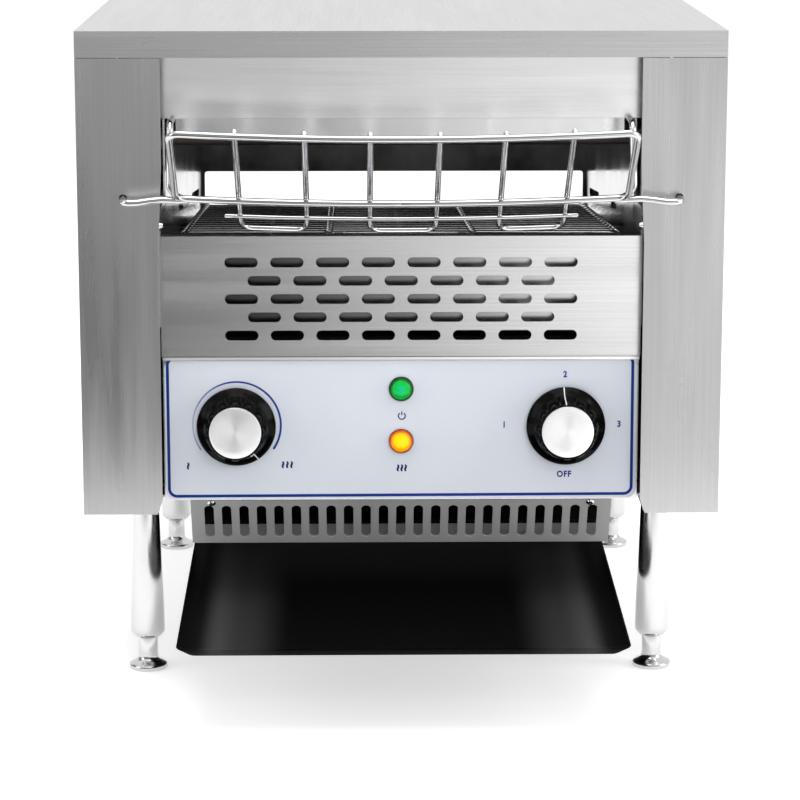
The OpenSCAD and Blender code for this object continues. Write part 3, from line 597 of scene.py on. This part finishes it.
def beltHook(k, way, z, p):
    # one column of a wire as (x, way along the belt, lift): it steps over and loops round the wire before
    hook = [(-3, -z * way, 0), (-1.3, -z * way - 1, 0.2), (-1.0, -0.6 * p, 0.9), (-0.6, -0.96 * p, 1.2),
            (0.6, -0.96 * p, 0.4), (1.0, -0.6 * p, -0.7), (1.3, z * way - 1, -0.3), (3, z * way, 0)]
    last = len(belt["columns"]) - 1
    if k in (0, last):
        # at the belt's edge the end of the wire is curled back under the one it holds
        hook = [(-1.9, -0.78 * p, -1.3), (-2.2, -0.9 * p, -1.2), (-1.7, -1.02 * p, 0.2),
                (-0.4, -1.0 * p, 1.5), (0.9, -0.85 * p, 1.3), (1.2, -0.5 * p, 0.6),
                (1.5, z * way - 1, 0.1), (4, z * way, 0)]
    hook = np.array(hook)
    return hook[::-1] * [-1, 1, 1] if k == last else hook


def beltStrands():
    # each wire is one row of hooks, laid on the belt's path a link behind the wire before it
    hooks = []
    for k, column in enumerate(belt["columns"]):
        way = 1 if k % 2 == 0 else -1
        hooks.append(beltHook(k, way, belt["zigzag"], beltPitch) + [column, 0, 0])
    x, s, lift = np.concatenate(hooks).T
    shapes = []
    for n in range(2 * belt["steps"] + belt["pockets"]):
        yz, normal = beltPath(s + n * beltPitch)
        path = np.column_stack([x, yz + normal * lift[:, None]])
        flat = np.array([0.0, *beltPath(np.array([n * beltPitch]))[1][0]])
        shapes.append(tube(path, belt["strand"], flat, 8))
    return joined(shapes)


addPiece("conveyorBelt", beltStrands(), finishes["beltWire"], "chassis", ["conveyor_belt", "belt_links"], 60)
print("belt made")


# loading rack

rack = {"root": (2.9, 273.2), "tilt": 37.0, "length": 108.0,
        "across": (-91.9, -53.9, -18.0, 20.0, 55.9, 93.2), "bow": (-1.5, 2.5, 110.0),
        "uprightRadius": 1.6, "armRadius": 1.9, "railRadius": 2.0, "railUp": 36.6, "railOff": 3.3,
        "thinRadius": 1.2, "thinHalf": 100.0, "thinUp": 17.6, "thinOff": 2.5,
        "side": 127.5, "pin": 158.0, "hanger": 130.8, "hookY": -15.5, "hookZ": 333.5}
rackTilt = math.radians(rack["tilt"])
upSlope = np.array([0.0, -math.cos(rackTilt), math.sin(rackTilt)])
rackNormal = np.array([0.0, -math.sin(rackTilt), -math.cos(rackTilt)])


def rackPoint(x, t, off=0.0):
    # across, up the slope and off the underside of the sloping wires
    return np.array([x, *rack["root"]]) + t * upSlope + off * rackNormal


def bowed(path):
    # the welded wires sag a little between the hangers: a parabola across the rack that fades out at the pins
    low, rise, half = rack["bow"]
    path = np.array(path, float)
    fade = np.clip((150 - np.abs(path[..., 0])) / 16, 0, 1)
    path[..., 2] += (low + rise * (path[..., 0] / half) ** 2) * fade
    return path


def wire(corners, bend, radius, sides=14):
    # a bent wire with points every few millimetres, so that it can follow the bow
    line = roundedPath(corners, bend, 9)
    far = np.insert(np.cumsum(np.linalg.norm(np.diff(line, axis=0), axis=1)), 0, 0)
    at = np.unique(np.round(np.concatenate([far, np.arange(0, far[-1], 7)]), 3))
    line = np.column_stack([np.interp(at, far, line[:, k]) for k in range(3)])
    return tube(bowed(line), radius, rackNormal, sides)


def weld(point, radius):
    # a low squashed ball: radius times the cosine of the latitude, flattened along x
    lat = np.linspace(-np.pi / 2, np.pi / 2, 7)
    ball = np.column_stack([radius * np.cos(lat), radius * 0.9 * np.sin(lat)])
    return lathe(ball, bowed(point), [1, 0, 0], 10)


def rackShape():
    low, high, off, s = rack["railUp"], rack["length"], rack["railOff"], rack["side"]
    pin, hang, hookY, hookZ = rack["pin"], rack["hanger"], rack["hookY"], rack["hookZ"]
    shapes = []
    # three pairs of uprights, each pair one wire with its loop at the bottom
    for a, b in zip(rack["across"][::2], rack["across"][1::2]):
        loop = [rackPoint(a, high), rackPoint(a, 0), rackPoint(b, 0), rackPoint(b, high)]
        shapes.append(wire(loop, 6.5, rack["uprightRadius"]))
    # the frame round them, from the middle of its lower rail and back to it
    sides = [(0.5, low), (-s, low), (-s, high), (s, high), (s, low), (-0.5, low)]
    shapes.append(wire([rackPoint(x, t, off) for x, t in sides], 6, rack["railRadius"], 16))
    thin = [rackPoint(way * rack["thinHalf"], rack["thinUp"], rack["thinOff"]) for way in (-1, 1)]
    shapes.append(wire(thin, 1, rack["thinRadius"], 12))
    # a pin and a hanger at each end of the lower rail
    y, z = rackPoint(0, low, off)[1:]
    for way in (-1, 1):
        stub = [(way * 121, y + 2.4, z - 1.6), (way * pin, y + 0.6, z - 0.8), (way * pin, -4, z)]
        shapes.append(wire(stub, 5, rack["railRadius"], 16))
        arm = [(126, y, z), (hang, y + 1, z + 5.7), (hang, hookY, hookZ - 4),
               (hang, hookY + 4, hookZ), (hang, 8, hookZ)]
        shapes.append(wire([(way * a, b, c) for a, b, c in arm], 5, rack["armRadius"]))
    for x in rack["across"]:
        shapes += [weld(rackPoint(x, t, 1.7), 1.9) for t in (low, high)]
        shapes.append(weld(rackPoint(x, rack["thinUp"], 1.3), 1.5))
    return joined(shapes)


addPiece("loadingRack", rackShape(), finishes["chrome"], "rack", ["loading_rack"], 60)
print("rack made")


# knobs

knob = {"x": 95.8, "z": 157.0, "lobes": 12, "lobeDepth": 1.7, "collar": 15.46, "pointer": 0.65}
knobSide = [(2.95, 0.5), (3.5, -0.9), (22.0, -0.9), (23.0, -0.3), (23.0, 1.8), (21.2, 3.6), (18.9, 5.4),
            (17.6, 8.4), (17.0, 16.8), (16.0, 18.6), (15.45, 18.6), (15.45, 17.3), (2.95, 17.3)]
capSide = [(0, 17.42), (15.0, 17.42), (15.0, 18.75), (14.92, 18.95), (14.75, 19.05), (14.5, 19.08),
           (10, 19.08), (5, 19.08), (0, 19.08)]


def knobProfile():
    # the knob's side as (radius, height) with its corners rounded
    return roundedPath([(r, h, 0.0) for r, h in knobSide], 1.1, 4)[:, :2]


def scallops(a, h):
    # finger hollows: shallow waves round the grip, fading out into the skirt
    grip = np.clip((h - 5.6) / 4.0, 0, 1) * np.clip((18.7 - h) / 2.0, 0, 1)
    return 1 - knob["lobeDepth"] / 17 * (0.5 - 0.5 * np.cos(knob["lobes"] * a)) ** 1.5 * grip


def knobShape(x):
    # the profile turned round, scalloped outside the collar that holds the cap
    profile = knobProfile()
    outside = profile[:, :1] > knob["collar"]

    def lobes(a, h):
        return np.where(outside, scallops(a, h), 1.0)

    return lathe(profile, (x, 0, knob["z"]), (0, -1, 0), 144, lobes)


def pointerShape(x, angle):
    # a thin painted band that follows the knob's side from the cap to the skirt's edge, at one angle
    profile = knobProfile()
    line = profile[(profile[:, 0] > 15.9) & (profile[:, 1] > 1.0)]
    line = line[np.argsort(-line[:, 1])]
    steps = [np.linspace(line[k], line[k + 1], 4, endpoint=False) for k in range(len(line) - 1)]
    r, h = np.concatenate(steps + [line[-1:]]).T
    wide = knob["pointer"] / 2 * np.array([-1, -1, 1, 1])[None, :]
    lift = np.array([-0.25, 0.07, 0.07, -0.25])[None, :]
    a = math.radians(angle)
    rr = (r * scallops(np.array(math.pi * 0.5), h))[:, None] + lift
    out = np.array([math.cos(a), 0, math.sin(a)])
    side = np.array([-math.sin(a), 0, math.cos(a)])
    points = (np.array([x, 0, knob["z"]]) + rr[..., None] * out + wide[..., None] * side
              + (h[:, None] + lift * 0.6)[..., None] * np.array([0, -1, 0]))
    return points.reshape(-1, 3), [gridFaces(len(r), 4, closeColumns=True)] + endCaps(len(r), 4)


for side, node, angle in ((-1, "speed", -56), (1, "selector", 93.5)):
    x, body = side * knob["x"], node + "_dial"
    addPiece(node + "Knob", knobShape(x), finishes["knobPlastic"], body, [node + "_knob"], 50)
    addPiece(node + "Pointer", pointerShape(x, angle), finishes["whitePaint"], body)
    spun = spunAluminium(node + "Spun", x, knob["z"])
    cap = lathe(capSide, (x, 0, knob["z"]), (0, -1, 0), 96)
    addPiece(node + "KnobCap", cap, spun, body, [node + "_knob_cap"], 50)
print("knobs made")


# printed front: border, speed arc, heat marks, dial numbers and power symbol

ink = {"y": 1.995, "proud": 0.06, "border": 1.7, "cornerRadius": 4.5, "symbolLine": 0.7}
border = {"left": -135.4, "right": 134.6, "bottom": 115.4, "top": 197.2, "open": 8, "middle": 155,
          "leanX": 0.00192, "leanZ": 0.00288}
scale = {"x": -95.6, "z": 157.4, "radius": 25.6, "from": 215, "to": -34, "thin": 0.7, "thick": 1.3}
symbol = {"x": 0.4, "z": 162.6, "radius": 2.0}


def ribbon(path, width):
    # a flat line of ink: a path in (x, z) widened to both sides, a hair thick
    path = np.asarray(path, float)
    ahead = np.gradient(path, axis=0)
    half = np.broadcast_to(np.asarray(width, float), len(path))[:, None] / 2
    left = unit(np.stack([-ahead[:, 1], ahead[:, 0]], -1)) * half
    a, b = path + left, path - left
    front, back = ink["y"] - ink["proud"], ink["y"] + 0.2
    ring = [np.insert(line, 1, y, 1) for line, y in ((a, front), (b, front), (b, back), (a, back))]
    n = len(path)
    return np.stack(ring, 1).reshape(-1, 3), [gridFaces(n, 4, closeColumns=True)] + endCaps(n, 4)


def heatWave(x, z, height=4.1):
    # an upright S: the sideways swing follows the sine of the height
    t = np.linspace(-1, 1, 25)
    path = np.column_stack([x + 0.26 * np.sin(np.pi * 1.25 * t), z + t * height / 2])
    return ribbon(path, 0.6 + 0.65 * np.cos(t * np.pi / 2) ** 0.5)


def arcLine(x, z, radius, a0, a1, thin, thick, steps):
    # an arc from angle a0 to a1 in degrees, its width growing evenly
    t = np.linspace(0, 1, steps)
    a = np.radians(a0 + (a1 - a0) * t)
    path = np.column_stack([x + radius * np.cos(a), z + radius * np.sin(a)])
    return ribbon(path, thin + (thick - thin) * t)


def borderLine():
    # a U with rounded corners, open at the top and leaning by a fraction of its size
    left, right, low, top, gap = (border[k] for k in ("left", "right", "bottom", "top", "open"))
    corners = [(left + gap, top), (left, top), (left, low), (right, low), (right, top), (right - gap, top)]
    x, z = np.array(corners).T
    x, z = x - (z - border["middle"]) * border["leanX"], z + x * border["leanZ"]
    path = roundedPath(np.column_stack([x, z, 0 * x]), ink["cornerRadius"], 8)[:, :2]
    return ribbon(path, ink["border"])


def frontMarks():
    # a heat wave at the scale's low end, three at its high end and under the lower lamp, and the power symbol
    marks = [heatWave(-124.2, 133.1)]
    for k in (-1, 0, 1):
        marks += [heatWave(-66.4 + k * 2.5, 133.7), heatWave(0.4 + k * 2.2, 131.6)]
    x, z, line = symbol["x"], symbol["z"], ink["symbolLine"]
    marks.append(arcLine(x, z, symbol["radius"], 125, 415, line, line, 50))
    marks.append(ribbon([(x, z + 0.5), (x, z + 2.7)], line))
    return joined(marks)


scaleArc = arcLine(*(scale[k] for k in ("x", "z", "radius", "from", "to", "thin", "thick")), 90)
addPiece("frontBorder", borderLine(), finishes["blueInk"], "chassis", sharp=80)
addPiece("speedScale", scaleArc, finishes["fadingInk"], "chassis", sharp=80)
addPiece("frontMarks", frontMarks(), finishes["navyInk"], "chassis", sharp=80)

letter = {"height": 3.5, "rise": 1.42, "bold": 0.19, "spacing": 1.15, "narrow": 0.88}
words = {"dialTop": ("2", 95.3, 186.9), "dialLeft": ("1", 60.0, 157.1), "dialRight": ("3", 127.0, 157.3),
         "dialOff": ("OFF", 95.2, 127.5)}


def printedWord(name, text, x, z):
    # a number or a plain word set in the stock font, made a mesh and laid on the overlay
    letters = bpy.data.curves.new(name, "FONT")
    letters.body = text
    letters.align_x, letters.align_y = "CENTER", "CENTER"
    letters.size = letter["height"] * letter["rise"] * mm
    letters.extrude = ink["proud"] / 2 * mm
    letters.offset = letter["bold"] * mm
    letters.space_character = letter["spacing"]
    holder = bpy.data.objects.new(name + "Text", letters)
    bpy.context.scene.collection.objects.link(holder)
    bpy.context.view_layer.update()
    mesh = bpy.data.meshes.new_from_object(holder.evaluated_get(bpy.context.evaluated_depsgraph_get()))
    bpy.data.objects.remove(holder)
    mesh.name = name
    place = Matrix.Translation((x * mm, (faceY + ink["y"] - ink["proud"] / 2) * mm, z * mm))
    upright = Matrix.Rotation(math.radians(90), 4, "X")
    mesh.transform(place @ upright @ Matrix.Diagonal((letter["narrow"], 1, 1, 1)))
    mesh.materials.clear()
    return finished(name, mesh, finishes["blueInk"], "chassis", sharp=60)


for name, (text, x, z) in words.items():
    printedWord(name, text, x, z)
print("front print laid")


# lamps

# a low dome with a bevelled rim and a flat lit window in its middle, as (radius, height)
lensSide = [(0, -1.1), (7.25, -1.1), (7.25, 0.3), (6.95, 1.0), (6.3, 1.5), (5.7, 1.65), (5.3, 1.62),
            (5.0, 1.85), (4.2, 2.5), (3.0, 2.95), (1.6, 3.15), (0, 3.2)]
lensRadius = max(r for r, h in lensSide)
green = [(0.0, (0.0, 0.42, 0.20, 1)), (0.3, (0.0, 0.42, 0.10, 1)), (0.62, (0.0, 0.36, 0.035, 1)),
         (0.76, (0.0, 0.22, 0.02, 1)), (0.87, (0.0, 0.04, 0.006, 1)), (1.0, (0.0, 0.02, 0.004, 1))]
amber = [(0.0, (0.78, 0.56, 0.0, 1)), (0.5, (0.78, 0.50, 0.0, 1)), (0.7, (0.72, 0.30, 0.002, 1)),
         (0.84, (0.48, 0.085, 0.002, 1)), (0.94, (0.22, 0.022, 0.002, 1)), (1.0, (0.12, 0.014, 0.002, 1))]
# height, finish, colour stops from the middle to the rim, glow
lamps = {"power": (179.0, "greenLens", green, 0.45), "heat": (148.0, "amberLens", amber, 0.6)}
for name, (z, finish, stops, glow) in lamps.items():
    lens = lensFinish(finish, z, lensRadius, stops, glow)
    addPiece(name + "Lamp", lathe(lensSide, (0, 0, z), (0, -1, 0), 72), lens, "chassis", [name + "_lamp"], 50)
print("lamps made")


# collection tray

tray = {"half": 127.0, "front": -100.0, "back": 290.0, "rim": 56.0, "fall": 2.3, "deep": 5.0,
        "thick": 1.2, "flare": 6.0}


def traySection():
    # (inset from the edge, height) from the underside up round the rolled rim and down to the floor
    d, t, f = tray["deep"], tray["thick"], tray["flare"]
    under = [(f + 3.0, -d - t), (f + 1.2, -d - t), (f + 0.2, -d - t + 0.35), (f - 0.8, -d - t + 1.1)]
    rim = [(0.25, -1.1), (0.0, -0.5), (0.05, -0.2), (0.35, -0.02), (0.8, 0.0), (1.3, -0.1), (1.75, -0.45)]
    inside = [(f + 0.4, -d + 0.9), (f + 1.3, -d + 0.3), (f + 2.4, -d + 0.04), (f + 4.0, -d)]
    return under + rim + inside


def trayShape():
    # a shallow pan of nested rounded rectangles, one for each point of the section, tilted by the fall
    fall = math.radians(tray["fall"])
    length = (tray["back"] - tray["front"]) / math.cos(fall)
    rings = []
    for inset, z in traySection():
        x, y0, y1 = tray["half"] - inset, inset, length - inset
        corners = [(-x, y0, 0.0), (x, y0, 0.0), (x, y1, 0.0), (-x, y1, 0.0)]
        loop = roundedPath(corners, max(6.0 - inset * 0.2, 3.0), 6, True)
        loop[:, 2] = z
        rings.append(loop)
    x, along, up = np.concatenate(rings).T
    y = tray["front"] + along * math.cos(fall) - up * math.sin(fall)
    z = tray["rim"] + tray["front"] * math.tan(fall) + along * math.sin(fall) + up * math.cos(fall)
    rows, columns = len(rings), len(rings[0])
    faces = [gridFaces(rows, columns, closeColumns=True)] + endCaps(rows, columns)
    return np.column_stack([x, y, z]), faces


addPiece("collectionTray", trayShape(), finishes["blackCoating"], "tray", ["collection_tray"], 35)
print("tray made")


# legs and feet

leg = {"x": 152.0, "ys": {"front": 40.0, "rear": 333.0}, "hands": {"left": -1, "right": 1}}
# half sections as (radius, height above the floor)
legSide = [(0.0, 64.0), (4.08, 64.0), (4.08, 20.0), (7.6, 20.0), (8.1, 20.3), (10.0, 22.7), (10.25, 23.6),
           (10.2, 26.0), (9.9, 40.0), (8.7, 72.0), (7.75, 101.0), (7.5, 106.8), (7.2, 107.9), (0.0, 107.9)]
footSide = [(0.0, 0.0), (11.2, 0.0), (11.7, 0.5), (11.7, 2.3), (11.4, 3.1), (10.6, 3.7), (8.0, 4.9),
            (6.6, 6.0), (5.95, 7.4), (5.85, 9.0), (5.85, 19.2), (5.6, 19.9), (4.1, 19.9), (4.0, 20.1),
            (4.0, 58.2), (3.4, 59.0), (0.0, 59.0)]


def uprightLathe(side, way, y):
    # a half section turned round the upright axis of one leg
    return lathe(side, (way * leg["x"], y, 0), (0, 0, 1), 56)


legShapes = [uprightLathe(legSide, way, y) for y in leg["ys"].values() for way in leg["hands"].values()]
addPiece("tubeLegs", joined(legShapes), finishes["legSteel"], "chassis", ["legs"], 40)
for end, y in leg["ys"].items():
    for hand, way in leg["hands"].items():
        foot, body, node = end + hand.title() + "Foot", f"foot_{end}_{hand}", f"{end}_{hand}_foot"
        addPiece(foot, uprightLathe(footSide, way, y), finishes["legSteel"], body, [node], 40)
print("legs made")


# outer sheet metal with its edges rolled over

lip = {"line": [(0.0, 198.3), (0.0, 197.8), (0.4, 195.9), (2.0, 195.6)], "thick": 0.9, "bend": 0.5,
       "half": 138}
softened("front_vent_panel", finishes["panelSteel"], 0.3)
lipShape = profileAlongX(bentSheet(lip["line"], lip["thick"], lip["bend"]), -lip["half"], lip["half"])
addPiece("ventPanelLip", lipShape, finishes["lipSteel"], "chassis")
softened("hood_front_panel", finishes["panelSteel"])
softened("control_panel", finishes["panelSteel"])
softened("lower_vent_panel", finishes["ventSteel"], 0.25)
softened("left_side_cover", finishes["flangeSteel"], 0.4)
softened("right_side_cover", finishes["flangeSteel"], 0.4)
softened("hood", finishes["sideSteel"], 0.4)
print("sheet metal softened")


# the CAD nodes that stay, by finish
kept = {
    "galvanised": ["base_frame", "tray_runners", "motor_bracket"],
    "linerSteel": ["left_inner_wall", "right_inner_wall", "left_chamber_liner", "right_chamber_liner",
                   "upper_reflector"],
    "rearSteel": ["rear_panel"],
    "chamberSteel": ["chamber_rear_wall"],
    "shieldSteel": ["front_heat_shield"],
    "overlay": ["control_overlay"],
    # these inside sheets are coloured near black as painted shade
    "paintedShadeBlack": ["chute_ceiling", "control_heat_shield", "return_slide", "lower_reflector"],
    # the belt support rails are coloured dark as painted shade
    "paintedShadeSteel": ["belt_support_rails"],
    "heaterSheath": ["upper_heating_tubes", "lower_heating_tubes"],
    "ceramic": ["heater_insulators"],
    "chainSteel": ["front_belt_sprockets", "rear_belt_sprockets", "rear_chain_sprocket", "motor_sprocket",
                   "drive_chain"],
    "chrome": ["front_shaft", "rear_shaft", "speed_spindle", "selector_spindle", "panel_screws"],
    "bronze": ["shaft_bearings"],
    "darkCast": ["drive_gearbox"],
    "blackPlastic": ["drive_motor", "selector_switch", "cord_gland"],
    "boardGreen": ["speed_control"],
    "naturalNylon": ["lamp_holders"],
    "creamPlastic": ["terminal_block"],
}
for finish, nodes in kept.items():
    for node in nodes:
        mesh = cadNodes[node].data
        if not mesh.materials:
            mesh.materials.append(finishes[finish])
        for place in cadNodes[node].material_slots:
            place.material = finishes[finish]
print("CAD nodes finished")
